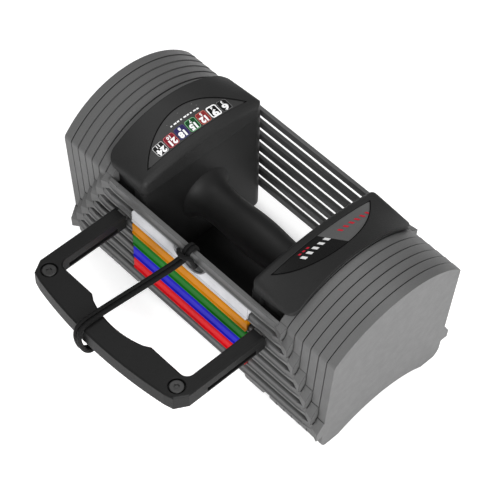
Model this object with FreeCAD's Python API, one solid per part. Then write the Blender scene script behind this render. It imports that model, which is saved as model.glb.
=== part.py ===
"""Adjustable block dumbbell: nested plate-and-rail weights, a moulded core with a grip,
a forked selector pin and an elastic lanyard.

X runs along the grip, -Y is the side the selector pin goes in from, +Z is up.
The model is drawn about the middle of the block, with the floor at Z = 0, and is then
moved along Y so that the origin is the middle of the whole footprint, pin included.
"""
import FreeCAD, Part
import math
import os

V = FreeCAD.Vector

# ---------------------------------------------------------------- driving dimensions, mm
# nested weights
WEIGHTS = 7
SELECTED = 2                # weights lifted with the pin where it sits
PLATE_PITCH = 7.4           # from one end plate to the next, along X
PLATE_THICK = 6.75
LEAN = math.radians(4.5)    # the plates spread outwards towards the top
FIRST_PLATE_X = 74.8        # inner face of the innermost plate at floor level
PLATE_SIDE = 59.3           # half width of a plate at its shoulders
PLATE_FOOT_SIDE = 58.4      # half width just above the rounded foot
ARCH_RADIUS = 79.3          # arched top of every plate
ARCH_CENTRE_Z = 54.8
BLANK_DROP = 1.0            # the plate's blank is lowered by this and cut level at the floor
SHOULDER_ROUND = 5.0
FOOT_ROUND = 10.0
FOOT_INNER = 43.5           # where the arch under the plate starts
FOOT_ARCH_RISE = 13.3
LIFT_CLEAR = 0.5            # inner plates stay this far above the floor

# rails that tie the two end plates of a weight together, front and back
RAIL_PITCH = 13.0
TOP_RAIL_BOTTOM = 98.5
RAIL_INNER = 59.6           # distance of the rail's back face from the middle plane
RAIL_DEPTH = 3.2
RAIL_HEIGHT = 6.2
TOP_RAIL_HEIGHT = 8.0
LIP_OUT = 0.9
LIP_HEIGHT = 1.2
LUG_FACE = 64.6             # furthest point of a corner lug
LUG_DROP = 4.0              # its outer corner hangs this far below the rail
LUG_REACH = 8.0             # how far the lug flares inwards from its plate
LUG_TALL = 14.0
LUG_TOP_LIMIT = 106.0
FOOT_TAB = (55.0, 75.0, 5.0)   # inner x, outer x, drop below the bottom rail

# coloured covers on the front rails
BAND_HALF = 58.0
BAND_WEIGHTS = {2: "white", 3: "orange", 4: "green", 5: "blue", 6: "red"}
BAND_FACE = 64.4
BAND_LIP = 65.2
BAND_HEIGHT = 12.3
NOTCH_WIDTH = 32.0
NOTCH_DEPTH = 10.0

# core
CORE_INNER = 53.0           # inner walls, either side of the hand space
CORE_HALF_DEPTH = 57.0
CORE_BOTTOM = 12.0
CORE_TOE = 4.0              # chamfer at the front and back of the underside
CORE_SPLIT_Z = 109.4        # joint between end block and cover
CORE_CORNER = 3.0           # inner corners at the front
CORE_REAR_CORNER = 8.0      # and at the rear
SHADOW_GAP_X = 62.4         # the end block is set back under the cover from here outwards
CORE_CLEAR = 0.4            # to the innermost plate
COVER_OUTER = 92.5
COVER_HALF = 56.6
COVER_CREST_Z = 126.1       # inner edge, at its middle
COVER_END_Z = 121.2         # inner edge, at its ends
COVER_RADIUS = 84.1         # arched outer edge
COVER_ARCH_Z = 53.4         # centre of the cover's arch and of the nest over the plates
NEST_RADIUS = 80.2
COVER_ROLL = 4.0            # rounding of the inner edge
COVER_END_ROLL = 5.0        # rounding of the front and back edges
UNDERCUT_RISE = 6.0         # the front end's lower edge rises by this towards the plates
LABEL_CHORD = 60.5
LABEL_APEX = 82.0
LABEL_HALF = 46.5
LABEL_SINK = 1.0
CHIP_SIZE = 8.8
CHIP_PITCH = 9.9
CHIP_ROW_X = 65.9
CHIP_ROUND = 1.6

# grip and tie parts
GRIP_Z = 67.5
TUBE_RADIUS = 9.5
TUBE_WALL = 2.0
TUBE_HALF = 62.0
BRIDGE_FRONT = 52.0
BRIDGE_BACK = 12.0
BRIDGE_TOP = 22.5
BRIDGE_THICK = 4.5

# selector pin
PRONG_X = 68.8
PRONG_WIDTH = 7.2
PRONG_THICK = 5.4
PRONG_BACK = 67.0
PRONG_ROOT = 118.0
SLOT_WIDTH = 9.7
SLOT_HEIGHT = 6.2
ARM_INNER = 64.4
ARM_OUTER = 75.4
ARM_END = 64.3              # where the arms stop, in front of the rails
FORK_TOP = 85.1
FORK_BOTTOM = 71.4
BAR_INNER = 124.5
BAR_CORNER = 143.0
BAR_FRONT = 149.0
BAR_CUT_HALF = 27.0
BAR_INNER_ROUND = 6.0
BAR_CUT_DEPTH = 7.5
PIN_SCREW = (64.4, 133.2)

# lanyard
CORD_RADIUS = 1.7
CORD_SPREAD = 1.75
CORD_SKEW = -13.0           # the cord meets the pin's bar off centre
CORD_ARC_SHARE = 0.45       # of the shorter run that each arc takes up
RAIL_TURNS = [2.2, 2.2, 2.6]   # arcs where the cord is pulled round the top rail
LOOP_FRONT = 154.0          # how far the slack bight reaches in front of the bar
LOOP_LOW = 54.5

SHAPES = {}


# ---------------------------------------------------------------- helpers
def box(x0, x1, y0, y1, z0, z1):
    return Part.makeBox(x1 - x0, y1 - y0, z1 - z0, V(x0, y0, z0))


def prism(points, direction):
    """Solid swept from a closed outline of plain points."""
    return Part.Face(Part.makePolygon(points + [points[0]])).extrude(direction)


def arc(a, middle, b):
    return Part.Arc(a, middle, b).toShape()


def line(a, b):
    return Part.LineSegment(a, b).toShape()


def mirror_x(shape):
    return shape.mirror(V(0, 0, 0), V(1, 0, 0))


def mirror_y(shape):
    return shape.mirror(V(0, 0, 0), V(0, 1, 0))


def skin(sections):
    """Solid with flat triangular facets between loops of points, closed at both ends."""
    faces = []
    for lower, upper in zip(sections, sections[1:]):
        count = len(lower)
        for i in range(count):
            j = (i + 1) % count
            faces.append([lower[i], lower[j], upper[j]])
            faces.append([lower[i], upper[j], upper[i]])
    for loop in (sections[0], sections[-1]):
        for i in range(1, len(loop) - 1):
            faces.append([loop[0], loop[i], loop[i + 1]])
    made = [Part.Face(Part.makePolygon(f + [f[0]])) for f in faces if spread(f)]
    solid = Part.Solid(Part.Shell(made))
    if solid.Volume < 0:
        solid.reverse()
    return solid


def spread(triangle):
    a, b, c = triangle
    return (b - a).cross(c - a).Length > 1e-6


def round_path(points, radii):
    """Straight runs joined by tangent arcs, one radius for each inner point."""
    edges = []
    start = points[0]
    for before, corner, after, radius in zip(points, points[1:], points[2:], radii):
        back = (before - corner).normalize()
        ahead = (after - corner).normalize()
        half = back.getAngle(ahead) / 2
        trim = radius / math.tan(half)
        a = corner + back * trim
        b = corner + ahead * trim
        centre = corner + (back + ahead).normalize() * (radius / math.sin(half))
        middle = centre + (corner - centre).normalize() * radius
        edges.append(line(start, a))
        edges.append(arc(a, middle, b))
        start = b
    edges.append(line(start, points[-1]))
    return Part.Wire(edges)


def tube_along(wire, radius):
    start = wire.Edges[0].Vertexes[0].Point
    ahead = wire.Edges[0].tangentAt(wire.Edges[0].FirstParameter)
    ring = Part.Wire(Part.Circle(start, ahead, radius).toShape())
    sweep = Part.BRepOffsetAPI.MakePipeShell(wire)
    sweep.add(ring)
    sweep.build()
    sweep.makeSolid()
    return sweep.shape()


def clean(shape):
    return shape.removeSplitter()


# ---------------------------------------------------------------- where each weight is
def rail_bottom(k):
    return TOP_RAIL_BOTTOM - RAIL_PITCH * (k - 1)


def plate_inner_x(k, z):
    return FIRST_PLATE_X + PLATE_PITCH * (k - 1) + math.tan(LEAN) * z


def rail_end_x(k):
    return plate_inner_x(k, rail_bottom(k)) - LUG_REACH


# ---------------------------------------------------------------- end plates
def plate_outline():
    """Closed outline in the YZ plane: arched top, rounded shoulders and feet, arch below."""
    shoulder_z = ARCH_CENTRE_Z + math.sqrt(ARCH_RADIUS**2 - PLATE_SIDE**2)
    top = V(0, 0, ARCH_CENTRE_Z + ARCH_RADIUS)
    right = V(0, PLATE_SIDE, shoulder_z)
    left = V(0, -PLATE_SIDE, shoulder_z)
    foot_r = V(0, PLATE_FOOT_SIDE, FOOT_ROUND)
    foot_l = V(0, -PLATE_FOOT_SIDE, FOOT_ROUND)
    turn = FOOT_ROUND * (1 - math.sqrt(0.5))
    toe_r = V(0, PLATE_FOOT_SIDE - FOOT_ROUND, 0)
    toe_l = V(0, FOOT_ROUND - PLATE_FOOT_SIDE, 0)
    edges = [
        arc(left, top, right),
        line(right, foot_r),
        arc(foot_r, V(0, PLATE_FOOT_SIDE - turn, turn), toe_r),
        line(toe_r, V(0, FOOT_INNER, 0)),
        arc(V(0, FOOT_INNER, 0), V(0, 0, FOOT_ARCH_RISE), V(0, -FOOT_INNER, 0)),
        line(V(0, -FOOT_INNER, 0), toe_l),
        arc(toe_l, V(0, turn - PLATE_FOOT_SIDE, turn), foot_l),
        line(foot_l, left),
    ]
    return Part.Wire(edges)


def bare_plate(k):
    """Right-hand end plate of weight k, leaning outwards, cut level at the floor."""
    blank = Part.Face(plate_outline()).extrude(V(PLATE_THICK, 0, 0))
    shoulders = [e for e in blank.Edges if is_shoulder(e)]
    blank = blank.makeFillet(SHOULDER_ROUND, shoulders)
    blank.translate(V(0, 0, -BLANK_DROP))
    blank.rotate(V(0, 0, 0), V(0, 1, 0), math.degrees(LEAN))
    blank.translate(V(plate_inner_x(k, 0), 0, 0))
    floor = 0.0 if k == WEIGHTS else LIFT_CLEAR
    return blank.cut(box(0, 200, -90, 90, -20, floor))


def is_shoulder(edge):
    a, b = (v.Point for v in edge.Vertexes) if len(edge.Vertexes) == 2 else (V(), V())
    along_x = abs((b - a).x) > PLATE_THICK - 0.01
    return along_x and a.z > ARCH_CENTRE_Z


def front_lug(k, rail_height):
    """Corner lug in front of the plate's edge: a chunky wedge that the rail's end flares into."""
    z0 = rail_bottom(k)
    thick = PLATE_THICK / math.cos(LEAN)
    top = min(z0 + LUG_TALL, LUG_TOP_LIMIT)

    def ring(inner_z, outer_z, inner_y, outer_y):
        rows = [(0, 57.5, inner_z), (thick, 57.5, outer_z), (thick, outer_y, outer_z),
                (0, inner_y, inner_z)]
        return [V(plate_inner_x(k, z) + dx, -y, z) for dx, y, z in rows]

    low = ring(z0 - 0.6, z0 - LUG_DROP, 63.0, LUG_FACE)
    middle = ring(z0 + 5.0, z0 + 4.0, 63.0, LUG_FACE)
    high = ring(top, top, PLATE_SIDE - 0.1, PLATE_SIDE - 0.1)
    lug = skin([low, middle, high])
    face = RAIL_INNER + RAIL_DEPTH
    rows_rail = [(RAIL_INNER, 0), (face + LIP_OUT, 0), (face + LIP_OUT, LIP_HEIGHT),
                 (face, LIP_HEIGHT + 0.8), (face, rail_height), (RAIL_INNER, rail_height)]
    rows_lug = [(RAIL_INNER, -0.6), (63.1, -0.6), (63.2, 1.4), (63.0, 3.0), (62.0, 7.4),
                (RAIL_INNER, 8.0)]
    near = [V(rail_end_x(k), -y, z0 + dz) for y, dz in rows_rail]
    far = [V(plate_inner_x(k, z0 + dz) + 0.5, -y, z0 + dz) for y, dz in rows_lug]
    return lug.fuse(skin([near, far]))


def end_plate(k):
    front = front_lug(k, TOP_RAIL_HEIGHT if k == 1 else RAIL_HEIGHT)
    back = mirror_y(front_lug(k, RAIL_HEIGHT))
    return clean(bare_plate(k).fuse([front, back]))


# ---------------------------------------------------------------- rails and their covers
def rail(k, height, feet=False):
    """Front rail of weight k: flat bar with a small lip along its lower edge."""
    z0 = rail_bottom(k)
    face = RAIL_INNER + RAIL_DEPTH
    end = rail_end_x(k)
    rows = [(RAIL_INNER, 0), (face + LIP_OUT, 0), (face + LIP_OUT, LIP_HEIGHT),
            (face, LIP_HEIGHT + 0.8), (face, height - 0.6), (face - 0.6, height),
            (RAIL_INNER, height)]
    bar = prism([V(-end, -y, z0 + dz) for y, dz in rows], V(2 * end, 0, 0))
    if not feet:
        return bar
    inner, outer, drop = FOOT_TAB
    for side in (-1, 1):
        tab = box(min(side * inner, side * outer), max(side * inner, side * outer),
                  -face, -RAIL_INNER, z0 - drop, z0 + 1.0)
        corners = [e for e in tab.Edges if along_y_below(e, z0)]
        bar = bar.fuse(tab.makeFillet(2.5, corners))
    return clean(bar)


def front_rail(k):
    return rail(k, TOP_RAIL_HEIGHT if k == 1 else RAIL_HEIGHT, k == WEIGHTS)


def along_y_below(edge, z):
    a, b = (v.Point for v in edge.Vertexes)
    return abs(a.y - b.y) > 1.0 and a.z < z and b.z < z


def band(k):
    """Coloured cover that clips over the middle of the front rail of weight k."""
    z0 = rail_bottom(k)
    face = RAIL_INNER + RAIL_DEPTH
    gap = 0.05
    top = BAND_HEIGHT
    rows = [(face + LIP_OUT + gap, gap), (BAND_LIP - 0.7, gap), (BAND_LIP, 0.7), (BAND_LIP, 1.6),
            (BAND_FACE, 2.4), (BAND_FACE, top - 3.6), (BAND_FACE - 0.5, top - 1.9),
            (BAND_FACE - 1.4, top - 0.6), (BAND_FACE - 2.6, top), (60.4, top),
            (60.4, RAIL_HEIGHT + gap), (face + gap, RAIL_HEIGHT + gap),
            (face + gap, LIP_HEIGHT + 0.85), (face + LIP_OUT + gap, LIP_HEIGHT + gap)]
    cover = prism([V(-BAND_HALF, -y, z0 + dz) for y, dz in rows], V(2 * BAND_HALF, 0, 0))
    shape = box(-BAND_HALF, BAND_HALF, -70, -58, z0, z0 + BAND_HEIGHT)
    shape = shape.makeFillet(3.0, [e for e in shape.Edges if along_y(e)])
    cover = cover.common(shape)
    if k == SELECTED:
        cover = cover.cut(notch_tool(z0 + BAND_HEIGHT))
    return cover


def along_y(edge):
    a, b = (v.Point for v in edge.Vertexes)
    return abs(a.y - b.y) > 1.0


def notch_tool(edge_z):
    half = NOTCH_WIDTH / 2
    radius = (half**2 + NOTCH_DEPTH**2) / (2 * NOTCH_DEPTH)
    return Part.makeCylinder(radius, 20, V(0, -75, edge_z - NOTCH_DEPTH + radius), V(0, 1, 0))


# ---------------------------------------------------------------- core
def level_below(k):
    """Height range of the prong slot under the rail of weight k."""
    top = rail_bottom(k) - 0.3
    return top - SLOT_HEIGHT, top


def inner_corners(plan):
    """Rounds the two upright edges beside the hand space, the rear one more."""
    inner = [e for e in plan.Edges if upright(e) and e.CenterOfMass.x < 60]
    front = [e for e in inner if e.CenterOfMass.y < 0]
    plan = plan.makeFillet(CORE_CORNER, front)
    rear = [e for e in plan.Edges if upright(e) and e.CenterOfMass.x < 60 and e.CenterOfMass.y > 50]
    return plan.makeFillet(CORE_REAR_CORNER, rear)


def core_end():
    """Right-hand end block: flat inner wall, seven prong slots, bore for the grip tube."""
    def outer(z):
        return plate_inner_x(1, z) - CORE_CLEAR
    outline = [V(CORE_INNER, -CORE_HALF_DEPTH, CORE_BOTTOM),
               V(outer(CORE_BOTTOM), -CORE_HALF_DEPTH, CORE_BOTTOM),
               V(outer(CORE_SPLIT_Z), -CORE_HALF_DEPTH, CORE_SPLIT_Z),
               V(CORE_INNER, -CORE_HALF_DEPTH, CORE_SPLIT_Z)]
    block = prism(outline, V(0, 2 * CORE_HALF_DEPTH, 0))
    plan = inner_corners(box(CORE_INNER, 100, -CORE_HALF_DEPTH, CORE_HALF_DEPTH, 0, 150))
    low = CORE_BOTTOM + CORE_TOE
    side = CORE_HALF_DEPTH - CORE_TOE
    rows = [(-side, CORE_BOTTOM), (side, CORE_BOTTOM), (CORE_HALF_DEPTH, low),
            (CORE_HALF_DEPTH, 150), (-CORE_HALF_DEPTH, 150), (-CORE_HALF_DEPTH, low)]
    toes = prism([V(0, y, z) for y, z in rows], V(100, 0, 0))
    block = block.common(plan).common(toes)
    half = SLOT_WIDTH / 2
    tools = []
    for k in range(1, WEIGHTS + 1):
        low_z, high_z = level_below(k)
        tools.append(box(PRONG_X - half, PRONG_X + half, -70, 70, low_z, high_z))
    for side in (-1, 1):
        y0, y1 = sorted((side * (CORE_HALF_DEPTH - 3.5), side * 70))
        tools.append(box(SHADOW_GAP_X, 95.0, y0, y1, 99.0, CORE_SPLIT_Z + 1))
    tools.append(Part.makeCylinder(TUBE_RADIUS + 0.05, 14, V(CORE_INNER - 2, 0, GRIP_Z), V(1, 0, 0)))
    return clean(block.cut(tools))


def cover_layer(over, under):
    """Slab that follows the cover's top, between two heights measured down from it."""
    def inner(y, drop):
        sag = COVER_CREST_Z - COVER_END_Z
        radius = (COVER_HALF**2 + sag**2) / (2 * sag)
        return V(CORE_INNER, y, COVER_CREST_Z - drop - radius + math.sqrt(radius**2 - y**2))

    def outer(y, drop):
        return V(COVER_OUTER, y, COVER_ARCH_Z - drop + math.sqrt(COVER_RADIUS**2 - y**2))

    def section(point):
        a, b = point(-COVER_HALF, under), point(COVER_HALF, under)
        c, d = point(COVER_HALF, over), point(-COVER_HALF, over)
        return Part.Wire([arc(a, point(0, under), b), line(b, c), arc(c, point(0, over), d),
                          line(d, a)])
    return Part.makeLoft([section(inner), section(outer)], True, True)


def cover():
    """Right-hand top cover, from the rolled inner edge out over the innermost plate."""
    body = cover_layer(0, 45.0)
    body = body.makeFillet(COVER_END_ROLL, [e for e in body.Edges if end_crest(e)])
    body = body.makeFillet(COVER_ROLL, [e for e in body.Edges if inner_crest(e)])
    plan = inner_corners(box(CORE_INNER, COVER_OUTER, -COVER_HALF, COVER_HALF, 60, 160))
    plan = plan.makeFillet(8.0, [e for e in plan.Edges if upright(e) and e.CenterOfMass.x > 90])
    body = body.common(plan)
    seat = plate_inner_x(1, CORE_SPLIT_Z) - CORE_CLEAR
    slope = math.tan(LEAN)
    body = body.cut(box(0, 120, -90, 90, 50, CORE_SPLIT_Z + 0.05))
    beyond = prism([V(seat - 60 * slope, -90, CORE_SPLIT_Z - 60), V(130, -90, CORE_SPLIT_Z - 60),
                    V(130, -90, 160), V(seat + (160 - CORE_SPLIT_Z) * slope, -90, 160)],
                   V(0, 180, 0))
    nest = Part.makeCylinder(NEST_RADIUS, 80, V(60, 0, COVER_ARCH_Z), V(1, 0, 0))
    rim = Part.makeCylinder(NEST_RADIUS + 1.5, 20, V(COVER_OUTER - 1.6, 0, COVER_ARCH_Z), V(1, 0, 0))
    undercut = prism([V(SHADOW_GAP_X, -60, CORE_SPLIT_Z), V(COVER_OUTER + 3, -60, CORE_SPLIT_Z),
                      V(COVER_OUTER + 3, -60, CORE_SPLIT_Z + UNDERCUT_RISE)], V(0, 12, 0))
    return clean(body.cut([nest.common(beyond), rim, undercut]))


def inner_crest(edge):
    return edge.CenterOfMass.z > 110 and all(abs(v.X - CORE_INNER) < 0.01 for v in edge.Vertexes)\
        and abs(edge.Vertexes[0].Y - edge.Vertexes[-1].Y) > 50


def end_crest(edge):
    ends = [v.Point for v in edge.Vertexes]
    flat = len(ends) == 2 and all(abs(abs(p.y) - COVER_HALF) < 0.01 for p in ends)
    return flat and min(p.z for p in ends) > 108 and abs(ends[0].x - ends[1].x) > 20


def label_plan(shrink):
    """D-shaped column standing through the cover's label recess."""
    chord = LABEL_CHORD + shrink
    half = LABEL_HALF - 2 * shrink
    a, b = V(chord, -half, 90), V(chord, half, 90)
    wire = Part.Wire([arc(a, V(LABEL_APEX - shrink, 0, 90), b), line(b, a)])
    return Part.Face(wire).extrude(V(0, 0, 70))


def label_panel():
    return cover_layer(0.3, LABEL_SINK - 0.05).common(label_plan(0.25))


def right_label_halves():
    """The right-hand insert is two pieces that meet along a slanted line."""
    panel = label_panel()
    slant = [V(50, -9, 90), V(100, 13, 90), V(100, 80, 90), V(50, 80, 90)]
    back = prism(slant, V(0, 0, 70))
    return panel.common(back), panel.cut(back)


def number_chip(index):
    """Small rounded pad on the left-hand label, one for each pin position."""
    y = (index - (WEIGHTS - 1) / 2) * CHIP_PITCH
    half = CHIP_SIZE / 2
    column = box(CHIP_ROW_X - half, CHIP_ROW_X + half, y - half, y + half, 90, 160)
    column = column.makeFillet(CHIP_ROUND, [e for e in column.Edges if upright(e)])
    return cover_layer(-0.05, 0.3).common(column)


def upright(edge):
    a, b = (v.Point for v in edge.Vertexes)
    return abs(a.z - b.z) > 50


def core_cover():
    recess = cover_layer(-2.0, LABEL_SINK).common(label_plan(0))
    return cover().cut(recess)


def grip():
    """Moulded sleeve: flared roots, a narrow waist each side and a palm swell."""
    profile = [(0, 15.4), (12, 15.0), (25, 14.1), (36, 14.2), (43, 15.1), (48, 17.2), (52.9, 21.8)]
    points = [V(-x, 0, GRIP_Z + r) for x, r in reversed(profile[1:])]
    points += [V(x, 0, GRIP_Z + r) for x, r in profile]
    curve = Part.BSplineCurve()
    curve.interpolate(points)
    bore = GRIP_Z + TUBE_RADIUS + 0.05
    a, b = V(points[-1].x, 0, bore), V(points[0].x, 0, bore)
    wire = Part.Wire([curve.toShape(), line(points[-1], a), line(a, b), line(b, points[0])])
    return Part.Face(wire).revolve(V(0, 0, GRIP_Z), V(1, 0, 0), 360)


def grip_tube():
    outer = Part.makeCylinder(TUBE_RADIUS, 2 * TUBE_HALF, V(-TUBE_HALF, 0, GRIP_Z), V(1, 0, 0))
    inner = Part.makeCylinder(TUBE_RADIUS - TUBE_WALL, 2 * TUBE_HALF,
                              V(-TUBE_HALF, 0, GRIP_Z), V(1, 0, 0))
    return outer.cut(inner)


def bridge():
    """Panel under the grip that ties the two end blocks together."""
    half = CORE_INNER - 0.05
    panel = box(-half, half, -BRIDGE_FRONT, BRIDGE_BACK, BRIDGE_TOP - BRIDGE_THICK, BRIDGE_TOP)
    panel = panel.makeFillet(1.5, [e for e in panel.Edges if along_x_top(e)])
    for y in (-BRIDGE_FRONT, BRIDGE_BACK - 3.0):
        rib = box(-half, half, y, y + 3.0, BRIDGE_TOP - BRIDGE_THICK - 5.0, BRIDGE_TOP - 2.0)
        panel = panel.fuse(rib)
    return clean(panel)


def along_x_top(edge):
    a, b = (v.Point for v in edge.Vertexes)
    return abs(a.x - b.x) > 50 and a.z > BRIDGE_TOP - 0.01


# ---------------------------------------------------------------- selector pin
def fork_outline(z):
    """U shape seen from above: two arms and a bar with a bowed front and a thumb cut-out."""
    def p(x, y):
        return V(x, -y, z)
    out_side = [(ARM_OUTER, ARM_END), (ARM_OUTER, 132.0), (70.0, 141.5)]
    bow = BAR_CORNER + 0.5
    edges = []
    right = [p(x, y) for x, y in out_side] + [p(63.0, bow)]
    left = [V(-q.x, q.y, z) for q in reversed(right)]
    for run in (right, left):
        edges += [line(a, b) for a, b in zip(run, run[1:])]
    edges.insert(len(right) - 1, arc(right[-1], p(0, BAR_FRONT), left[0]))
    cut_depth = BAR_INNER + BAR_CUT_DEPTH
    turn = BAR_INNER_ROUND
    bend = turn * (1 - math.sqrt(0.5))
    for side in (-1, 1):
        def q(x, y):
            return p(side * x, y)
        edges_side = [line(q(ARM_OUTER, ARM_END), q(ARM_INNER, ARM_END)),
                      line(q(ARM_INNER, ARM_END), q(ARM_INNER, BAR_INNER - turn)),
                      arc(q(ARM_INNER, BAR_INNER - turn), q(ARM_INNER - bend, BAR_INNER - bend),
                          q(ARM_INNER - turn, BAR_INNER)),
                      line(q(ARM_INNER - turn, BAR_INNER), q(BAR_CUT_HALF + 3, BAR_INNER)),
                      line(q(BAR_CUT_HALF + 3, BAR_INNER), q(BAR_CUT_HALF - 2, BAR_INNER + 3))]
        edges += edges_side
    edges.append(arc(p(2 - BAR_CUT_HALF, BAR_INNER + 3), p(0, cut_depth),
                     p(BAR_CUT_HALF - 2, BAR_INNER + 3)))
    return Part.Wire(Part.__sortEdges__(edges))


def fork_body():
    height = FORK_TOP - FORK_BOTTOM
    body = Part.Face(fork_outline(FORK_BOTTOM)).extrude(V(0, 0, height))
    rims = [e for e in body.Edges if level(e, FORK_TOP) or level(e, FORK_BOTTOM)]
    body = body.makeChamfer(1.0, rims)
    tools = []
    for side in (-1, 1):
        tools.append(prong(side, 0.05))
        x, y = side * PIN_SCREW[0], -PIN_SCREW[1]
        tools.append(Part.makeCylinder(6.2, 5, V(x, y, FORK_TOP - 2.2)))
        tools.append(Part.makeCylinder(2.05, 12, V(x, y, FORK_TOP - 10.2)))
        for wall, depth in ((ARM_OUTER, -1.8), (ARM_INNER, 1.8)):
            x0, x1 = sorted((side * wall, side * (wall + depth)))
            tools.append(box(x0 - 0.01, x1 + 0.01, -116.0, -72.0, FORK_BOTTOM + 2.4,
                             FORK_BOTTOM + 6.2))
    return clean(body.cut(tools))


def level(edge, z):
    return all(abs(v.Point.z - z) < 0.01 for v in edge.Vertexes)


def prong(side, grow=0.0):
    """Flat steel bar, set in the arm, that runs under the front and back rails."""
    half = PRONG_WIDTH / 2 + grow
    top = rail_bottom(SELECTED) - 0.7 + grow
    low = rail_bottom(SELECTED) - 0.7 - PRONG_THICK - grow
    bar = box(side * PRONG_X - half, side * PRONG_X + half, -PRONG_ROOT - grow, PRONG_BACK, low, top)
    nose = [e for e in bar.Edges if abs(e.CenterOfMass.y - PRONG_BACK) < 0.01]
    return bar.makeChamfer(1.6, nose)


def pin_screw(side):
    """Pan-head screw with a hexagon socket, in the bar's corner."""
    base = V(side * PIN_SCREW[0], -PIN_SCREW[1], FORK_TOP - 2.2)
    head = Part.makeCylinder(5.4, 2.0, base)
    head = head.makeFillet(0.9, [e for e in head.Edges if level(e, base.z + 2.0)])
    corners = []
    for i in range(6):
        angle = math.radians(60 * i)
        corners.append(base + V(2.0 * math.cos(angle), 2.0 * math.sin(angle), 1.0))
    socket = prism(corners, V(0, 0, 3))
    shank = Part.makeCylinder(2.0, 7.9, base - V(0, 0, 7.9))
    return head.fuse(shank).cut(socket)


# ---------------------------------------------------------------- lanyard
def strand_route(side):
    """One side of the elastic loop: behind and over the top rail, along to the pin's bar,
    over its front edge and back in a slack bight into its underside."""
    rail_face = RAIL_INNER + RAIL_DEPTH + LIP_OUT
    clear = CORD_RADIUS + 0.3
    over = rail_bottom(1) + TOP_RAIL_HEIGHT + clear
    bar_top = FORK_TOP + clear
    x0 = side * CORD_SPREAD
    x1 = x0 + CORD_SKEW
    loop_y = CORD_RADIUS - LOOP_FRONT
    return [V(x0, clear - RAIL_INNER, over - 8.6),
            V(x0, clear - RAIL_INNER, over),
            V(x0, -rail_face - clear, over),
            V(x0, -rail_face - clear - 1.7, over - 6.8),
            V(x0 + 0.35 * CORD_SKEW, -88.0, 95.8),
            V(x0 + 0.75 * CORD_SKEW, -111.0, 90.0),
            V(x1, -133.0, bar_top + 0.15),
            V(x1, -148.6, bar_top + 1.0),
            V(x1, loop_y, bar_top - 4.9),
            V(x1, loop_y, bar_top - 14.5),
            V(x1, -149.0, 61.0),
            V(x1, -142.5, LOOP_LOW),
            V(x1, -136.2, 59.0),
            V(x1, -135.6, FORK_BOTTOM - 0.25)]


def strand(side):
    points = strand_route(side)
    radii = []
    for before, corner, after in zip(points, points[1:], points[2:]):
        turn = math.pi - (before - corner).getAngle(after - corner)
        shorter = min((before - corner).Length, (after - corner).Length)
        radii.append(CORD_ARC_SHARE * shorter / math.tan(turn / 2))
    radii[:3] = RAIL_TURNS
    wire = round_path(points, radii)
    tube = tube_along(wire, CORD_RADIUS)
    print("lanyard radii", [round(r, 1) for r in radii], "volume", round(tube.Volume, 1),
          "section x length", round(math.pi * CORD_RADIUS**2 * wire.Length, 1))
    return tube


# ---------------------------------------------------------------- the whole object
def weights():
    for k in range(1, WEIGHTS + 1):
        right = end_plate(k)
        SHAPES[f"weight{k}_right_plate"] = right
        SHAPES[f"weight{k}_left_plate"] = mirror_x(right)
        SHAPES[f"weight{k}_front_rail"] = front_rail(k)
        SHAPES[f"weight{k}_rear_rail"] = mirror_y(rail(k, RAIL_HEIGHT))
        if k in BAND_WEIGHTS:
            SHAPES[f"weight{k}_{BAND_WEIGHTS[k]}_band"] = band(k)


def core():
    end = core_end()
    top = core_cover()
    panel = label_panel()
    insert_back, insert_front = right_label_halves()
    SHAPES["core_right_end"] = end
    SHAPES["core_left_end"] = mirror_x(end)
    SHAPES["core_right_cover"] = top
    SHAPES["core_left_cover"] = mirror_x(top)
    SHAPES["left_label_panel"] = mirror_x(panel)
    SHAPES["right_insert_back"] = insert_back
    SHAPES["right_insert_front"] = insert_front
    for index in range(WEIGHTS):
        SHAPES[f"number_chip_{index + 1}"] = mirror_x(number_chip(index))
    SHAPES["grip_sleeve"] = grip()
    SHAPES["grip_tube"] = grip_tube()
    SHAPES["bridge_panel"] = bridge()


def selector_pin():
    SHAPES["pin_fork"] = fork_body()
    SHAPES["pin_left_prong"] = prong(-1)
    SHAPES["pin_right_prong"] = prong(1)
    SHAPES["pin_screws"] = Part.makeCompound([pin_screw(-1), pin_screw(1)])
    SHAPES["lanyard"] = Part.makeCompound([strand(-1), strand(1)])


def export_all():
    to_middle = V(0, (LOOP_FRONT - PRONG_BACK) / 2, 0)
    os.makedirs("parts", exist_ok=True)
    for name, shape in SHAPES.items():
        moved = shape.copy()
        moved.translate(to_middle)
        moved.exportStep(f"parts/{name}.step")
        box_ = moved.BoundBox
        print(f"{name:24s} {moved.isValid()} solids {len(moved.Solids)} "
              f"volume {moved.Volume / 1000:8.2f} cm3 x {box_.XMin:.1f}..{box_.XMax:.1f} y {box_.YMin:.1f}..{box_.YMax:.1f} "
              f"z {box_.ZMin:.1f}..{box_.ZMax:.1f}")


weights()
core()
selector_pin()
export_all()
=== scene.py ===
import bpy
import math
from mathutils import Matrix, Vector


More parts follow.
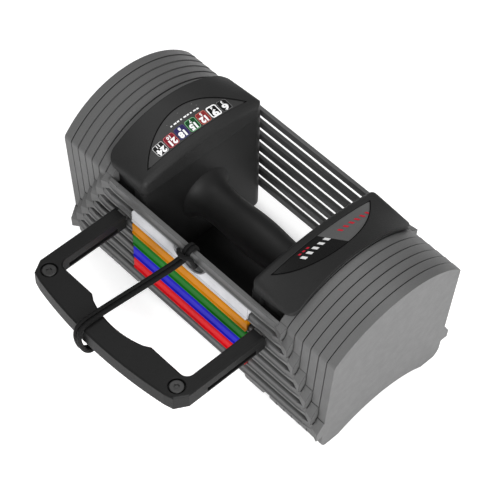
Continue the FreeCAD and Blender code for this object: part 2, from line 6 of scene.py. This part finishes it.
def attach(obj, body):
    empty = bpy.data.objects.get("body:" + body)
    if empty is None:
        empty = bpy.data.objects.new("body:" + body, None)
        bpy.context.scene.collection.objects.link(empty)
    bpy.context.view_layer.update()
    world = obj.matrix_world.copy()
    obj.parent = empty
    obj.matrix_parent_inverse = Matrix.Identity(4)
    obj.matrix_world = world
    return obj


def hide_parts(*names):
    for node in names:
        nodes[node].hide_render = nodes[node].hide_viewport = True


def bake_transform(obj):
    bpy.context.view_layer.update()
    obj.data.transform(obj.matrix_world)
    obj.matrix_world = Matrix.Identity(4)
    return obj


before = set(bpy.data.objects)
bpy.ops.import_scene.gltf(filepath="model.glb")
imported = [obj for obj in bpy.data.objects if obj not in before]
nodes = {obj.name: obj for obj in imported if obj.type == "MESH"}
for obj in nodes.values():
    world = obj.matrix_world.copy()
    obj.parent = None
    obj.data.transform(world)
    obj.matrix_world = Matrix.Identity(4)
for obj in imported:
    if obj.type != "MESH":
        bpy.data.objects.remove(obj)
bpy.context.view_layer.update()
scene = bpy.context.scene

# Sizes are in metres and angles in degrees unless a comment says otherwise.
DY = 0.0435                 # the model's shift along Y from the middle of the block
WEIGHTS = 7

CAMERA_AZIMUTH, CAMERA_ELEVATION, CAMERA_ROLL = 45.699, 52.308, 1.251
CAMERA_PLACE = (0.6192, -0.6108 + DY, 1.1767)
CAMERA_LENS, CAMERA_SENSOR = 145.4, 36          # mm
CAMERA_REACH = 20
FLOOR_HALF, FLOOR_DROP = 6.0, 0.0004
FLOOR_TONE, FLOOR_GLOW = 0.93, 0.44
WORLD_LEVEL = 0.46                              # soft studio surround
WORLD_LEAN = (0.25, -0.12, 0.15)                # it is brighter towards this direction
KEY_LIGHT = ((1.6, -0.8, 0.85), 36, 0.8)        # place, watts, size
TOP_LIGHT = ((-0.3, 0.4, 1.9), 12, 0.9)
LIGHT_AIM = (0, 0, 0.05)
BAND_ROUND = 0.0010                             # soft corners of the coloured covers
BAND_SHARP_ANGLE = 35
WELD_REACH = 0.00001


# ------------------------------------------------------------- camera
def make_camera():
    az, el, roll = (math.radians(a) for a in (CAMERA_AZIMUTH, CAMERA_ELEVATION, CAMERA_ROLL))
    right = Vector((math.cos(az), math.sin(az), 0))
    back = Vector((math.sin(az) * math.cos(el), -math.cos(az) * math.cos(el), math.sin(el)))
    up = back.cross(right)
    rolled_right = right * math.cos(roll) + up * math.sin(roll)
    rolled_up = -right * math.sin(roll) + up * math.cos(roll)
    data = bpy.data.cameras.new("camera")
    data.sensor_width = CAMERA_SENSOR
    data.lens = CAMERA_LENS
    data.clip_end = CAMERA_REACH
    cam = bpy.data.objects.new("camera", data)
    scene.collection.objects.link(cam)
    pose = Matrix((rolled_right, rolled_up, back)).transposed().to_4x4()
    pose.translation = Vector(CAMERA_PLACE)
    cam.matrix_world = pose
    scene.camera = cam


# ------------------------------------------------------------- floor and light
def make_stage():
    mesh = bpy.data.meshes.new("floor")
    h = FLOOR_HALF
    mesh.from_pydata([(-h, -h, 0), (h, -h, 0), (h, h, 0), (-h, h, 0)], [], [(0, 1, 2, 3)])
    floor = bpy.data.objects.new("floor", mesh)
    scene.collection.objects.link(floor)
    floor.location.z = -FLOOR_DROP
    mat = bpy.data.materials.new("floor")
    mat.use_nodes = True
    shader = mat.node_tree.nodes["Principled BSDF"]
    shader.inputs["Base Color"].default_value = (*grey(FLOOR_TONE), 1)
    shader.inputs["Roughness"].default_value = 0.95
    shader.inputs["Specular IOR Level"].default_value = 0.0
    shader.inputs["Emission Color"].default_value = (1, 1, 1, 1)
    shader.inputs["Emission Strength"].default_value = FLOOR_GLOW
    mesh.materials.append(mat)
    world = bpy.data.worlds.new("world")
    world.use_nodes = True
    tree = world.node_tree
    where = tree.nodes.new("ShaderNodeTexCoord").outputs["Generated"]
    lean = tree.nodes.new("ShaderNodeVectorMath")
    lean.operation = "DOT_PRODUCT"
    tree.links.new(where, lean.inputs[0])
    lean.inputs[1].default_value = WORLD_LEAN
    level = tree.nodes.new("ShaderNodeMath")
    level.operation = "ADD"
    tree.links.new(lean.outputs["Value"], level.inputs[0])
    level.inputs[1].default_value = WORLD_LEVEL
    level.use_clamp = True
    tree.nodes["Background"].inputs[0].default_value = (1, 1, 1, 1)
    tree.links.new(level.outputs[0], tree.nodes["Background"].inputs[1])
    scene.world = world
    scene.view_settings.view_transform = "Standard"

    add_area_light("key", *KEY_LIGHT)
    add_area_light("top", *TOP_LIGHT)


def add_area_light(name, where, power, size):
    data = bpy.data.lights.new(name, "AREA")
    data.energy = power
    data.size = size
    light = bpy.data.objects.new(name, data)
    scene.collection.objects.link(light)
    light.location = where
    aim = Vector(LIGHT_AIM) - Vector(where)
    light.rotation_euler = aim.to_track_quat("-Z", "Y").to_euler()


# ------------------------------------------------------------- materials
CREVICE_REACH = 0.004       # how near a neighbour has to be to shade a finish
PLAITS_ROUND = 4.0          # of the cord's braid


class Nodes:
    """Short calls for building one material's node tree."""
    def __init__(self, name):
        self.mat = bpy.data.materials.new(name)
        self.mat.use_nodes = True
        self.tree = self.mat.node_tree
        self.shader = self.tree.nodes["Principled BSDF"]
        self.place = self.tree.nodes.new("ShaderNodeTexCoord").outputs["Object"]

    def join(self, a, b):
        self.tree.links.new(a, b)

    def noise(self, scale, detail=2.0, rough=0.5, place=None):
        n = self.tree.nodes.new("ShaderNodeTexNoise")
        n.inputs["Scale"].default_value = scale
        n.inputs["Detail"].default_value = detail
        n.inputs["Roughness"].default_value = rough
        self.join(place or self.place, n.inputs["Vector"])
        return n.outputs["Fac"]

    def ramp(self, value, stops):
        n = self.tree.nodes.new("ShaderNodeValToRGB")
        while len(n.color_ramp.elements) < len(stops):
            n.color_ramp.elements.new(0.5)
        for element, (at, colour) in zip(n.color_ramp.elements, stops):
            element.position = at
            element.color = (*colour, 1)
        self.join(value, n.inputs["Fac"])
        return n.outputs["Color"]

    def mix(self, fac, a, b, mode="MIX"):
        n = self.tree.nodes.new("ShaderNodeMix")
        n.data_type = "RGBA"
        n.blend_type = mode
        sockets = [s for s in n.inputs if s.type == "RGBA"]
        for socket, value in ((n.inputs["Factor"], fac), (sockets[0], a), (sockets[1], b)):
            if hasattr(value, "links"):
                self.join(value, socket)
            elif isinstance(value, (int, float)):
                socket.default_value = value
            else:
                socket.default_value = (*value, 1)
        return [s for s in n.outputs if s.type == "RGBA"][0]

    def calc(self, what, a, b=0.0, c=0.0):
        n = self.tree.nodes.new("ShaderNodeMath")
        n.operation = what
        for socket, value in zip(n.inputs, (a, b, c)):
            if hasattr(value, "links"):
                self.join(value, socket)
            else:
                socket.default_value = value
        return n.outputs[0]

    def edges(self, radius):
        """A mask, 0 on flat faces and rising along sharp outer and inner edges, and the
        rounded normal it comes from."""
        soft = self.tree.nodes.new("ShaderNodeBevel")
        soft.samples = 6
        soft.inputs["Radius"].default_value = radius
        flat = self.tree.nodes.new("ShaderNodeNewGeometry").outputs["Normal"]
        dot = self.tree.nodes.new("ShaderNodeVectorMath")
        dot.operation = "DOT_PRODUCT"
        self.join(soft.outputs[0], dot.inputs[0])
        self.join(flat, dot.inputs[1])
        return self.calc("SUBTRACT", 1.0, dot.outputs["Value"]), soft.outputs[0]

    def crevice_shade(self, colour, reach, darkest):
        """Paint shade into a colour where a neighbour stands within reach: a painted shade from an
        occlusion test.
        """
        near = self.tree.nodes.new("ShaderNodeAmbientOcclusion")
        near.samples = 8
        near.inputs["Distance"].default_value = reach
        shade = self.ramp(near.outputs["AO"], [(0.4, grey(darkest)), (0.85, (1, 1, 1))])
        return self.mix(1.0, colour, shade, "MULTIPLY")

    def bump(self, height, strength, distance, normal=None):
        n = self.tree.nodes.new("ShaderNodeBump")
        n.inputs["Strength"].default_value = strength
        n.inputs["Distance"].default_value = distance
        self.join(height, n.inputs["Height"])
        if normal is not None:
            self.join(normal, n.inputs["Normal"])
        return n.outputs["Normal"]

    def finish(self, colour, rough, normal, **uniform):
        self.join(colour, self.shader.inputs["Base Color"])
        self.join(rough, self.shader.inputs["Roughness"])
        self.join(normal, self.shader.inputs["Normal"])
        for name, value in uniform.items():
            self.shader.inputs[name.replace("_", " ")].default_value = value
        return self.mat


def grey(tone, tint=(1, 1, 1)):
    return tuple(tone * t for t in tint)


def powder_coat(name, tone, edge, rough=0.5, seam=0.0):
    """Baked powder coat on steel: fine orange peel, faint clouding, edges lighter, partly rubbed
    wear and partly a painted highlight, and painted shade where a neighbour stands near.
    seam is how much the edges are painted dark instead, a painted shade for the shadowed seams
    between plates."""
    n = Nodes(name)
    cloud = n.noise(38, 4, 0.6)
    speck = n.noise(1900, 2, 0.6)
    colour = n.ramp(cloud, [(0.3, grey(tone * 0.97)), (0.7, grey(tone * 1.03))])
    colour = n.mix(n.ramp(speck, [(0.35, grey(0)), (0.75, grey(0.5))]), colour, grey(tone * 1.35))
    edge_mask, soft = n.edges(0.0006)
    if seam:
        # painted shade: plate edges darkened to widen the shadowed seams between plates
        seam_shade_mask = n.calc("MINIMUM", n.calc("MULTIPLY", edge_mask, seam), 0.93)
        colour = n.mix(seam_shade_mask, colour, grey(edge))
    else:
        # edges painted lighter: partly rubbed wear, partly a painted highlight
        wear_and_highlight = n.calc("MULTIPLY", edge_mask, n.calc("MULTIPLY_ADD", n.noise(420, 3), 3.0, 0.6))
        colour = n.mix(n.calc("MINIMUM", wear_and_highlight, 0.6), colour, grey(edge))
        # painted shade where a neighbour stands near
        colour = n.crevice_shade(colour, CREVICE_REACH, 0.35)
    roughness = n.calc("MULTIPLY_ADD", n.noise(160, 3), 0.22, rough - 0.1)
    peel = n.bump(n.noise(1100, 2, 0.5), 0.22, 0.00025, soft)
    return n.finish(colour, roughness, peel, Specular_IOR_Level=0.3)


def moulded(name, tone, rough=0.5, grain=900, depth=0.3, edge=1.5, specular=0.22):
    """Spark-textured moulded plastic: fine pits, faint flow marks, edges lighter, partly polish and
    partly a painted highlight.
    """
    n = Nodes(name)
    cells = n.tree.nodes.new("ShaderNodeTexVoronoi")
    cells.inputs["Scale"].default_value = grain
    n.join(n.place, cells.inputs["Vector"])
    fine = n.noise(grain * 1.7, 3, 0.6)
    flow = n.noise(30, 3, 0.55)
    colour = n.ramp(flow, [(0.3, grey(tone * 0.88)), (0.72, grey(tone * 1.14))])
    colour = n.mix(n.ramp(fine, [(0.3, grey(0)), (0.8, grey(0.55))]), colour, grey(tone * 1.6))
    edge_mask, soft = n.edges(0.0008)
    # edges painted lighter: partly polish, partly a painted highlight
    polish_and_highlight = n.calc("MINIMUM", n.calc("MULTIPLY", edge_mask, 2.2), 0.8)
    colour = n.mix(polish_and_highlight, colour, grey(tone * edge))
    roughness = n.calc("MULTIPLY_ADD", fine, 0.2, rough - 0.1)
    pits = n.calc("ADD", cells.outputs["Distance"], fine)
    return n.finish(colour, roughness, n.bump(pits, depth, 0.0002, soft),
                    Specular_IOR_Level=specular)


def rubber(name, tone, rough=0.55):
    """Soft-touch rubber: very fine stipple and a dusty sheen."""
    n = Nodes(name)
    stipple = n.noise(2300, 2, 0.5)
    dust = n.noise(55, 5, 0.6)
    colour = n.ramp(dust, [(0.35, grey(tone * 0.85)), (0.75, grey(tone * 1.35))])
    roughness = n.calc("MULTIPLY_ADD", dust, 0.25, rough - 0.12)
    return n.finish(colour, roughness, n.bump(stipple, 0.22, 0.00015), Specular_IOR_Level=0.25,
                    Sheen_Weight=0.02)


def bright_plastic(name, colour, rough=0.36):
    """Coloured clip-on cover: glossy moulding, slight mottling, painted shade along the edges and
    where a neighbour stands near.
    """
    n = Nodes(name)
    cloud = n.noise(60, 4, 0.6)
    deep = tuple(c * 0.88 for c in colour)
    pale = tuple(min(1.0, c * 1.06) for c in colour)
    base = n.ramp(cloud, [(0.3, deep), (0.7, pale)])
    # painted shade: edges darkened to copy the shadow lines between the covers
    edge_mask, soft = n.edges(0.0011)
    shade = tuple(c * 0.22 for c in colour)
    base = n.mix(n.calc("MINIMUM", n.calc("MULTIPLY", edge_mask, 6.0), 0.85), base, shade)
    # painted shade where a neighbour stands near
    base = n.crevice_shade(base, CREVICE_REACH, 0.12)
    roughness = n.calc("MULTIPLY_ADD", n.noise(500, 3), 0.16, rough - 0.08)
    return n.finish(base, roughness, n.bump(n.noise(1400, 2), 0.12, 0.0002, soft),
                    Specular_IOR_Level=0.05)


def metal(name, tone, rough=0.32, stretch=(1, 1, 1)):
    """Drawn or plated steel with fine lines along its length."""
    n = Nodes(name)
    scale = n.tree.nodes.new("ShaderNodeMapping")
    scale.inputs["Scale"].default_value = stretch
    n.join(n.place, scale.inputs["Vector"])
    lines = n.noise(900, 3, 0.6, scale.outputs[0])
    stain = n.noise(45, 4, 0.6)
    colour = n.ramp(lines, [(0.3, grey(tone * 0.82)), (0.7, grey(tone * 1.12))])
    colour = n.mix(n.ramp(stain, [(0.45, grey(0)), (0.85, grey(0.4))]), colour,
                   grey(tone * 0.55, (1.0, 0.93, 0.86)))
    roughness = n.calc("MULTIPLY_ADD", lines, 0.25, rough - 0.1)
    edge_mask, soft = n.edges(0.0004)
    return n.finish(colour, roughness, n.bump(lines, 0.1, 0.0001, soft), Metallic=1.0)


def braid(name, tone):
    """Braided elastic: slanting plaits on the strand, with a soft fibre fuzz."""
    n = Nodes(name)
    u = n.tree.nodes.new("ShaderNodeUVMap")
    u.uv_map = "UVMap"
    split = n.tree.nodes.new("ShaderNodeSeparateXYZ")
    n.join(u.outputs[0], split.inputs[0])
    around, along = split.outputs[0], split.outputs[1]
    turns = n.calc("MULTIPLY", around, PLAITS_ROUND)
    left, right = (n.calc("SINE", n.calc("MULTIPLY", n.calc(how, turns, along), math.tau))
                   for how in ("ADD", "SUBTRACT"))
    plait = n.calc("MULTIPLY_ADD", n.calc("MAXIMUM", left, right), 0.5, 0.5)
    fuzz = n.noise(5200, 3, 0.7)
    # the plaits' grooves painted darker and their crowns lighter: painted shade and painted
    # highlight on the braid's relief
    colour = n.ramp(plait, [(0.15, grey(tone * 0.35)), (0.9, grey(tone * 1.5))])
    colour = n.mix(n.ramp(fuzz, [(0.4, grey(0)), (0.8, grey(0.6))]), colour, grey(tone * 2.2))
    height = n.calc("ADD", plait, n.calc("MULTIPLY", fuzz, 0.35))
    roughness = n.calc("MULTIPLY_ADD", fuzz, 0.2, 0.62)
    return n.finish(colour, roughness, n.bump(height, 0.7, 0.0003), Sheen_Weight=0.02,
                    Specular_IOR_Level=0.15)


def print_ink(name, colour):
    """Screen-printed ink: slightly uneven cover, satin."""
    n = Nodes(name)
    patch = n.noise(900, 4, 0.6)
    base = n.ramp(patch, [(0.25, tuple(c * 0.8 for c in colour)), (0.65, colour)])
    roughness = n.calc("MULTIPLY_ADD", patch, 0.2, 0.42)
    return n.finish(base, roughness, n.bump(patch, 0.08, 0.0001), Specular_IOR_Level=0.12)


PLATE_TONE = 0.088
CHIP_COLOURS = [grey(0.004), (0.17, 0.004, 0.012), (0.018, 0.014, 0.075), (0.002, 0.045, 0.010),
                (0.20, 0.018, 0.02), grey(0.002), grey(0.008)]


def dress():
    """One finish for each material slot of the record."""
    coats = {
        "plate_coat": powder_coat("plate_coat", PLATE_TONE, 0.14),
        "rail_coat": powder_coat("rail_coat", 0.075, 0.24, 0.42),
        "band_white": bright_plastic("band_white", (0.56, 0.56, 0.58)),
        "band_orange": bright_plastic("band_orange", (0.50, 0.180, 0.001)),
        "band_green": bright_plastic("band_green", (0.0008, 0.125, 0.004)),
        "band_blue": bright_plastic("band_blue", (0.010, 0.007, 0.44)),
        "band_red": bright_plastic("band_red", (0.58, 0.001, 0.006)),
        "core_block": moulded("core_block", 0.009, 0.5),
        "core_cover": moulded("core_cover", 0.0125, 0.55),
        "bridge_plastic": moulded("bridge_plastic", 0.006, 0.5),
        "label_black": moulded("label_black", 0.027, 0.5, grain=1500, depth=0.12),
        "insert_grey": moulded("insert_grey", 0.085, 0.42, grain=1500, depth=0.12),
        "insert_black": moulded("insert_black", 0.004, 0.3, grain=1500, depth=0.1),
        "grip_rubber": rubber("grip_rubber", 0.0065),
        "tube_steel": metal("tube_steel", 0.55, 0.3, (0.05, 1, 1)),
        "pin_plastic": moulded("pin_plastic", 0.0058, 0.5, grain=800, specular=0.16),
        "prong_steel": metal("prong_steel", 0.5, 0.3, (1, 0.05, 1)),
        "screw_black": metal("screw_black", 0.05, 0.4),
        "cord_black": rubber("cord_black", 0.01),
    }
    for index, colour in enumerate(CHIP_COLOURS):
        coats[f"chip_{index + 1}"] = print_ink(f"chip_{index + 1}", colour)
    # all plates but the outermost get painted seam shade along their edges
    seam_shaded_coat = powder_coat("plate_coat_seam_shade", PLATE_TONE, 0.006, seam=5.0)
    for name, obj in nodes.items():
        if name.endswith("_plate") and not name.startswith(f"weight{WEIGHTS}"):
            obj.material_slots[0].material = seam_shaded_coat
            continue
        for slot in obj.material_slots:
            slot.material = coats[slot.material.name.split(".")[0]]


def round_bands():
    """The coloured covers are moulded with soft corners."""
    for name, obj in nodes.items():
        if name.endswith("_band"):
            obj.modifiers.new("joined", "WELD").merge_threshold = WELD_REACH
            soft = obj.modifiers.new("soft_corners", "BEVEL")
            soft.width = BAND_ROUND
            soft.segments = 3
            soft.limit_method = "ANGLE"
            soft.angle_limit = math.radians(BAND_SHARP_ANGLE)


# ------------------------------------------------------------- printed marks on the covers
# The covers' top: an arc at the inner edge, another at the outer edge, straight between them.
CREST_Z, END_Z, INNER_X, OUTER_X = 0.1261, 0.1212, 0.053, 0.0925
COVER_HALF, COVER_RADIUS, ARCH_Z = 0.0566, 0.0841, 0.0534
FILM_RECESS = 0.00027       # the inserts lie this far below the covers' own top
CHIP_X, CHIP_PITCH, CHIP_SIZE, CHIP_ROUND = 0.0659, 0.0099, 0.0088, 0.0017
RIM_LIFT, FIGURE_LIFT, GROOVE_LIFT = 0.00009, 0.00012, 0.00004
GROOVE_WIDTH = 0.0007
LARGE_FIGURES = ["24", "21", "18", "15", "12", "9", "6"]
SMALL_FIGURES = ["11", "10", "8", "7", "5", "4", "3"]
# Rim of each chip: ink name, colour, width.
CHIP_RIMS = [("ink_rim_grey", (0.42, 0.42, 0.42), 0.00045),
             ("ink_rim_red", (0.42, 0.10, 0.11), 0.0004),
             ("ink_rim_blue", (0.06, 0.06, 0.17), 0.0003),
             ("ink_rim_green", (0.18, 0.42, 0.22), 0.0004),
             ("ink_rim_orange", (0.45, 0.16, 0.12), 0.0004),
             ("ink_rim_white", (0.85, 0.85, 0.85), 0.0009),
             ("ink_rim_dark", (0.2, 0.2, 0.2), 0.0003)]


def cover_z(x, y):
    """Height of the covers' top at a point, y from the middle of the block."""
    sag = CREST_Z - END_Z
    radius = (COVER_HALF**2 + sag**2) / (2 * sag)
    inner = CREST_Z - radius + math.sqrt(radius**2 - y**2)
    outer = ARCH_Z + math.sqrt(COVER_RADIUS**2 - y**2)
    t = (abs(x) - INNER_X) / (OUTER_X - INNER_X)
    return inner + (outer - inner) * t


def lay_on_cover(name, verts, faces, rise, mat, body="selected_set"):
    """A thin film of ink whose flat outline (x, y) is draped over the cover."""
    mesh = bpy.data.meshes.new(name)
    mesh.from_pydata([(x, y + DY, cover_z(x, y) + rise) for x, y in verts], [], faces)
    mesh.update()
    obj = bpy.data.objects.new(name, mesh)
    scene.collection.objects.link(obj)
    mesh.materials.append(mat)
    for polygon in mesh.polygons:
        if polygon.normal.z < 0:
            polygon.flip()
    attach(obj, body)
    return obj


def rounded(half_u, half_v, radius, steps=5):
    """Points round a rectangle with round corners, about its middle."""
    points = []
    for cu, cv, start in ((1, 1, 0), (-1, 1, 90), (-1, -1, 180), (1, -1, 270)):
        for i in range(steps + 1):
            angle = math.radians(start + 90 * i / steps)
            points.append((cu * (half_u - radius) + radius * math.cos(angle),
                           cv * (half_v - radius) + radius * math.sin(angle)))
    return points


def ring(half_u, half_v, radius, width):
    outer = rounded(half_u, half_v, radius)
    inner = rounded(half_u - width, half_v - width, max(radius - width, 0.0001))
    count = len(outer)
    faces = [(i, (i + 1) % count, count + (i + 1) % count, count + i) for i in range(count)]
    return outer + inner, faces


def digits(text, size, heavy):
    """Flat mesh of a number in a plain heavy face: list of points and faces, about its middle."""
    curve = bpy.data.curves.new("digits", "FONT")
    curve.body = text
    curve.size = size
    curve.offset = heavy
    curve.align_x = "CENTER"
    curve.align_y = "CENTER"
    curve.resolution_u = 3
    holder = bpy.data.objects.new("digits", curve)
    scene.collection.objects.link(holder)
    bpy.context.view_layer.update()
    mesh = bpy.data.meshes.new_from_object(holder)
    verts = [(v.co.x, v.co.y) for v in mesh.vertices]
    faces = [tuple(p.vertices) for p in mesh.polygons]
    bpy.data.objects.remove(holder)
    bpy.data.meshes.remove(mesh)
    return verts, faces


def place(points, x, y, wide=1.0):
    """Reading towards -Y with the tops of the figures towards +X."""
    return [(x + v, y - u * wide) for u, v in points]


def print_label():
    white = print_ink("ink_white", (0.80, 0.80, 0.80))
    faint = print_ink("ink_grey", grey(0.16))
    half = CHIP_SIZE / 2 + 0.0001
    for index in range(WEIGHTS):
        y = (index - (WEIGHTS - 1) / 2) * CHIP_PITCH
        ink, colour, width = CHIP_RIMS[index]
        size, wide = (0.0066, 1.45) if len(LARGE_FIGURES[index]) == 1 else (0.0060, 1.12)
        rim = ring(half, half, CHIP_ROUND, width)
        lay_figure(f"chip_rim_{index + 1}", rim, 0, y, 1.0, RIM_LIFT, print_ink(ink, colour))
        lay_figure(f"chip_number_{index + 1}", digits(LARGE_FIGURES[index], size, 0.00034),
                   0.0013, y, wide, FIGURE_LIFT, white)
        lay_figure(f"chip_small_number_{index + 1}", digits(SMALL_FIGURES[index], 0.0031, 0.00012),
                   -0.0027, y, 1.2, FIGURE_LIFT, white)
    label_line(1, -0.0735, -0.0135, 0.0135, 0.0005, 9, white)
    label_line(2, -0.0760, -0.0150, 0.0130, 0.00018, 1, faint)
    label_line(3, -0.0785, -0.0030, 0.0110, 0.00018, 1, faint)


def lay_figure(name, outline, offset, y, wide, lift, ink):
    """A rim or a figure on the chip at y, moved by offset across the row of chips."""
    points, faces = outline
    lay_on_cover(name, place(points, offset - CHIP_X, y, wide), faces, lift, ink)


def label_line(row, x, start, end, half, count, ink):
    """A plain printed line, or a row of short bars of varied length, along the label."""
    verts, faces = [], []
    step = (end - start) / count
    for i in range(count):
        length = step if count == 1 else step * (0.45 + 0.35 * ((i * 5) % 3) / 2)
        y0 = start + i * step
        y1 = y0 + length
        faces.append(tuple(range(len(verts), len(verts) + 4)))
        verts += [(x - half, y0), (x + half, y0), (x + half, y1), (x - half, y1)]
    lay_on_cover(f"label_line_{row}", verts, faces, -FILM_RECESS, ink)


INSERT_CHORD, INSERT_APEX, INSERT_HALF = 0.0605, 0.0820, 0.0465
GROOVE_STEPS = 48
GROOVE_CORNER = (0.7, 2.2)     # how the inner line turns at the points, in groove widths


def groove(name, side, width, mat):
    """Dark line of shadow in the joint round a D-shaped insert."""
    chord, apex, half = INSERT_CHORD, INSERT_APEX, INSERT_HALF
    sag = apex - chord
    radius = (half**2 + sag**2) / (2 * sag)
    spread = math.asin(half / radius)
    count = GROOVE_STEPS
    outer, inner = [], []
    for i in range(count + 1):
        angle = -spread + 2 * spread * i / count
        for loop, r in ((outer, radius), (inner, radius - width)):
            loop.append((apex - radius + r * math.cos(angle), r * math.sin(angle)))
    in_x, in_y = (width * part for part in GROOVE_CORNER)
    inner[0] = (chord + in_x, -half + in_y)
    inner[-1] = (chord + in_x, half - in_y)
    verts = [(side * x, y) for x, y in outer + inner]
    total = count + 1
    faces = [(i, i + 1, total + i + 1, total + i) for i in range(count)]
    faces.append((0, total, 2 * total - 1, total - 1))
    lay_on_cover(name, verts, faces, GROOVE_LIFT, mat)


def row_of(first, pitch, count):
    return [first + pitch * i for i in range(count)]


def slanted_marks(name, ys, x0, x1, width, slant, mat):
    """Plain slanting bars, a generic decoration on the right-hand insert."""
    verts, faces = [], []
    for y in ys:
        faces.append(tuple(range(len(verts), len(verts) + 4)))
        verts += [(x0, y), (x0, y + width), (x1, y + width + slant), (x1, y + slant)]
    lay_on_cover(name, verts, faces, -FILM_RECESS, mat)


def decorate_insert():
    red = print_ink("ink_red", (0.50, 0.012, 0.03))
    white = print_ink("ink_bar_white", (0.72, 0.72, 0.72))
    slanted_marks("insert_marks_red", row_of(0.0075, 0.0052, 6), 0.0672, 0.0705, 0.0021, 0.0016,
                  red)
    slanted_marks("insert_marks_white", row_of(-0.0255, 0.0052, 5), 0.0662, 0.0700, 0.0024,
                  0.0016, white)
    slanted_marks("insert_marks_small", row_of(-0.0245, 0.0036, 3), 0.0632, 0.0646, 0.0018,
                  0.0008, red)


# ------------------------------------------------------------- lanyard
CORD_R = 0.0017
HITCH_R = CORD_R * 0.95
CORD_SPREAD = 0.00175       # half the distance between the two strands
CORD_SKEW = -0.0130         # the strands meet the bar off centre
BRAID_TURNS = 260           # plaits per metre
CORD_SIDES = 14


def control_points(rows):
    """Control points from x, y from the middle of the block, and z."""
    return [Vector((x, y + DY, z)) for x, y, z in rows]


def route(side):
    """Route of one side of the lanyard, behind and over the top rail to the bar's underside."""
    x0 = side * CORD_SPREAD
    x1 = x0 + CORD_SKEW
    rows = [(x0, -0.0576, 0.0999), (x0, -0.0576, 0.1085), (x0, -0.0657, 0.1085),
            (x0, -0.0674, 0.1017), (x0 - 0.00455, -0.0880, 0.0958), (x0 - 0.00975, -0.1110, 0.0900),
            (x1, -0.1330, 0.08725), (x1, -0.1486, 0.0881), (x1, -0.1523, 0.0822),
            (x1, -0.1523, 0.0726), (x1, -0.1490, 0.0610), (x1, -0.1425, 0.0545),
            (x1, -0.1362, 0.0590), (x1, -0.1356, 0.07115)]
    return control_points(rows)


def nurbs_line(name, points, resolution):
    """Points read from the smooth NURBS line that has the route as its control points."""
    curve = bpy.data.curves.new(name, "CURVE")
    curve.dimensions = "3D"
    spline = curve.splines.new("NURBS")
    spline.points.add(len(points) - 1)
    for target, p in zip(spline.points, points):
        target.co = (*p, 1)
    spline.order_u = 3
    spline.use_endpoint_u = True
    spline.resolution_u = resolution
    holder = bpy.data.objects.new(name, curve)
    scene.collection.objects.link(holder)
    bpy.context.view_layer.update()
    mesh = bpy.data.meshes.new_from_object(holder)
    line = [v.co.copy() for v in mesh.vertices]
    bpy.data.objects.remove(holder)
    return line


def sweep(name, line, radius, mat):
    """Round tube along a line, with UVs that count plaits round and along it."""
    sides = CORD_SIDES
    frames = []
    side = Vector((1, 0, 0))
    for i, p in enumerate(line):
        ahead = (line[min(i + 1, len(line) - 1)] - line[max(i - 1, 0)]).normalized()
        side = (side - ahead * side.dot(ahead)).normalized()
        frames.append((p, side.copy(), ahead.cross(side)))
    verts, faces, marks = [], [], []
    gone = 0.0
    for i, (p, a, b) in enumerate(frames):
        if i:
            gone += (p - line[i - 1]).length
        for k in range(sides):
            angle = math.tau * k / sides
            verts.append(p + (a * math.cos(angle) + b * math.sin(angle)) * radius)
        marks.append(gone * BRAID_TURNS)
    for i in range(len(line) - 1):
        for k in range(sides):
            j = (k + 1) % sides
            faces.append((i * sides + k, i * sides + j, (i + 1) * sides + j, (i + 1) * sides + k))
    faces.append(tuple(reversed(range(sides))))
    last = (len(line) - 1) * sides
    faces.append(tuple(range(last, last + sides)))
    mesh = bpy.data.meshes.new(name)
    mesh.from_pydata(verts, [], faces)
    uv = mesh.uv_layers.new(name="UVMap")
    for polygon in mesh.polygons:
        wraps = polygon.index < len(faces) - 2 and (polygon.index % sides) == sides - 1
        for loop in polygon.loop_indices:
            v = mesh.loops[loop].vertex_index
            k = v % sides
            uv.data[loop].uv = ((sides if wraps and k == 0 else k) / sides, marks[v // sides])
        polygon.use_smooth = len(polygon.vertices) == 4
    mesh.update()
    obj = bpy.data.objects.new(name, mesh)
    scene.collection.objects.link(obj)
    mesh.materials.append(mat)
    return obj


def lanyard(mat):
    """Hitch and legs ride with the handle; the two strands stretch between it and the pin."""
    rows = [(-0.0066, -0.0652, 0.0955), (-0.0070, -0.0666, 0.1010), (-0.0060, -0.0676, 0.1064),
            (-0.0026, -0.0708, 0.1072), (0.0026, -0.0708, 0.1072), (0.0060, -0.0676, 0.1064),
            (0.0070, -0.0666, 0.1010), (0.0066, -0.0652, 0.0955)]
    bight = nurbs_line("hitch_line", control_points(rows), 12)
    parts = [sweep("lanyard_hitch", bight, HITCH_R, mat)]
    for side, tag in ((-1, "left"), (1, "right")):
        rows = [(side * CORD_SPREAD, -0.0576, 0.1000), (side * 0.0026, -0.0577, 0.0970),
                (side * 0.0047, -0.0600, 0.0955), (side * 0.0062, -0.0634, 0.0950),
                (side * 0.0066, -0.0652, 0.0957)]
        under = nurbs_line(f"leg_{tag}", control_points(rows), 10)
        parts.append(sweep(f"lanyard_leg_{tag}", under, HITCH_R, mat))
    for piece in parts:
        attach(piece, "selected_set")
    for side, tag in ((-1, "left"), (1, "right")):
        line = nurbs_line(f"strand_{tag}", route(side), 14)
        strand = sweep(f"lanyard_strand_{tag}", line, CORD_R, mat)
        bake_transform(strand)
        if side < 0:
            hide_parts("lanyard")


make_camera()
make_stage()
dress()
round_bands()
print_label()
shadow = moulded("joint_shadow", 0.0025, 0.6, edge=1.0, specular=0.05)
groove("left_label_joint", -1, GROOVE_WIDTH, shadow)
groove("right_label_joint", 1, GROOVE_WIDTH, shadow)
lanyard(braid("cord_braid", 0.0022))
decorate_insert()
